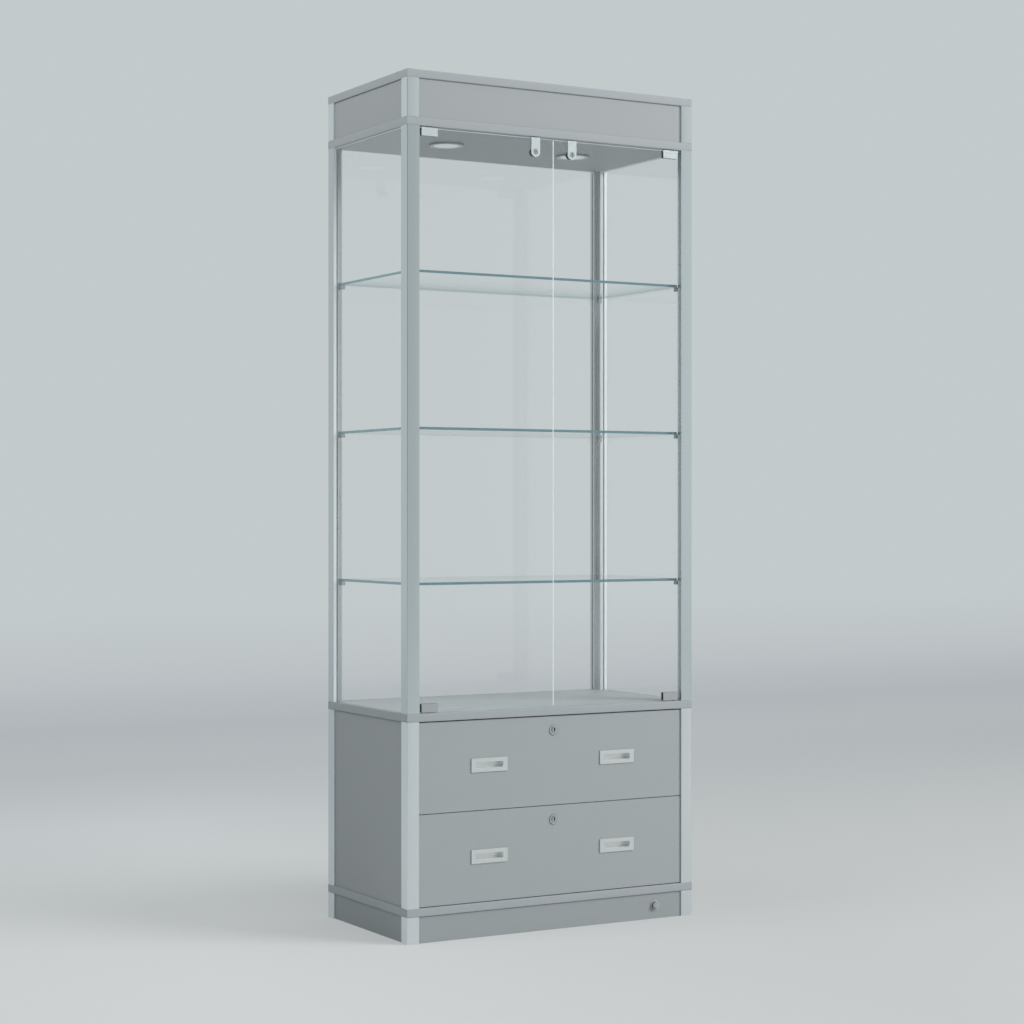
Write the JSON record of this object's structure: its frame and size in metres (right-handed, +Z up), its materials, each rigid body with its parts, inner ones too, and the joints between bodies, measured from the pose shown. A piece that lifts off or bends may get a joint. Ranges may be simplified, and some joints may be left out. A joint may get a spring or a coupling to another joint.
{
  "type": "display_cabinet",
  "caption": "Tall framed glass display cabinet with aluminium corner posts, glass shelves and doors, a drawer base, a plinth and a lit header.",
  "frame": {"origin": "On the floor, under the middle of the cabinet's outline.", "axes": "+Z is up, from the plinth to the top board. -Y is the front, with the doors and the drawers. +X is to the right, seen from the front."},
  "size_m": [0.75, 0.4065, 1.912],
  "materials": {
    "grey_board": "grey melamine board with a soft grey edging",
    "grey_panel": "grey melamine board, matt",
    "grey_front": "grey melamine board, matt",
    "tray_board": "light grey melamine board",
    "post_aluminium": "satin anodised extrusion",
    "satin_steel": "satin nickel plate",
    "dark_steel": "darker plated steel",
    "lamp_white": "light grey bezel and lens",
    "clear_glass": "clear tempered glass",
    "shelf_glass": "clear tempered glass with a blue-green edge"
  },
  "bodies": {
    "cabinet": {"base_board": "grey_board", "deck_board": "grey_board", "ceiling_board": "grey_board", "top_board": "grey_board", "plinth_post_front_left": "post_aluminium", "plinth_post_front_right": "post_aluminium", "plinth_post_rear_left": "post_aluminium", "plinth_post_rear_right": "post_aluminium", "drawer_bay_post_front_left": "post_aluminium", "drawer_bay_post_front_right": "post_aluminium", "drawer_bay_post_rear_left": "post_aluminium", "drawer_bay_post_rear_right": "post_aluminium", "glass_bay_post_front_left": "post_aluminium", "glass_bay_post_front_right": "post_aluminium", "glass_bay_post_rear_left": "post_aluminium", "glass_bay_post_rear_right": "post_aluminium", "header_post_front_left": "post_aluminium", "header_post_front_right": "post_aluminium", "header_post_rear_left": "post_aluminium", "header_post_rear_right": "post_aluminium", "plinth_panel_front": "grey_panel", "plinth_panel_rear": "grey_panel", "plinth_panel_left": "grey_panel", "plinth_panel_right": "grey_panel", "header_panel_front": "grey_panel", "header_panel_rear": "grey_panel", "header_panel_left": "grey_panel", "header_panel_right": "grey_panel", "side_panel_left": "grey_panel", "side_panel_right": "grey_panel", "back_panel": "grey_panel", "glass_pane_left": "clear_glass", "glass_pane_right": "clear_glass", "glass_pane_rear": "clear_glass", "shelf_lower": "shelf_glass", "shelf_middle": "shelf_glass", "shelf_upper": "shelf_glass", "downlight_left": "lamp_white", "downlight_right": "lamp_white"},
    "switch_cap": {"switch_cap": "dark_steel"},
    "left_door": {"door_glass_left": "clear_glass", "patch_hinge_left_top": "satin_steel", "patch_hinge_left_bottom": "satin_steel", "door_lock_case_left": "satin_steel"},
    "right_door": {"door_glass_right": "clear_glass", "patch_hinge_right_top": "satin_steel", "patch_hinge_right_bottom": "satin_steel", "door_lock_case_right": "satin_steel"},
    "left_door_lock": {"door_lock_plug_left": "dark_steel"},
    "right_door_lock": {"door_lock_plug_right": "dark_steel"},
    "upper_drawer": {"drawer_front_upper": "grey_front", "drawer_tray_upper": "tray_board", "drawer_handle_upper_left": "satin_steel", "drawer_handle_upper_right": "satin_steel"},
    "lower_drawer": {"drawer_front_lower": "grey_front", "drawer_tray_lower": "tray_board", "drawer_handle_lower_left": "satin_steel", "drawer_handle_lower_right": "satin_steel"},
    "upper_drawer_lock": {"drawer_lock_plug_upper": "dark_steel"},
    "lower_drawer_lock": {"drawer_lock_plug_lower": "dark_steel"}
  },
  "joints": [
    {"name": "left_door_hinge", "type": "hinge", "parent": "cabinet", "child": "left_door", "pos_m": [-0.3307, -0.1925, 0.503], "axis": [0, 0, -1], "range_deg": [0, 100]},
    {"name": "right_door_hinge", "type": "hinge", "parent": "cabinet", "child": "right_door", "pos_m": [0.3307, -0.1925, 0.503], "axis": [0, 0, 1], "range_deg": [0, 100]},
    {"name": "left_door_lock_turn", "type": "hinge", "parent": "left_door", "child": "left_door_lock", "pos_m": [-0.048, -0.1925, 1.756], "axis": [0, -1, 0], "range_deg": [0, 90]},
    {"name": "right_door_lock_turn", "type": "hinge", "parent": "right_door", "child": "right_door_lock", "pos_m": [0.048, -0.1925, 1.756], "axis": [0, -1, 0], "range_deg": [0, 90]},
    {"name": "upper_drawer_slide", "type": "slide", "parent": "cabinet", "child": "upper_drawer", "axis": [0, -1, 0], "range_m": [0, 0.28]},
    {"name": "lower_drawer_slide", "type": "slide", "parent": "cabinet", "child": "lower_drawer", "axis": [0, -1, 0], "range_m": [0, 0.28]},
    {"name": "upper_drawer_lock_turn", "type": "hinge", "parent": "upper_drawer", "child": "upper_drawer_lock", "pos_m": [0, -0.201, 0.4515], "axis": [0, -1, 0], "range_deg": [0, 90]},
    {"name": "lower_drawer_lock_turn", "type": "hinge", "parent": "lower_drawer", "child": "lower_drawer_lock", "pos_m": [0, -0.201, 0.2495], "axis": [0, -1, 0], "range_deg": [0, 90]},
    {"name": "switch_press", "type": "slide", "parent": "cabinet", "child": "switch_cap", "axis": [0, 1, 0], "range_m": [0, 0.003], "stiffness_N_per_m": 400}
  ]
}
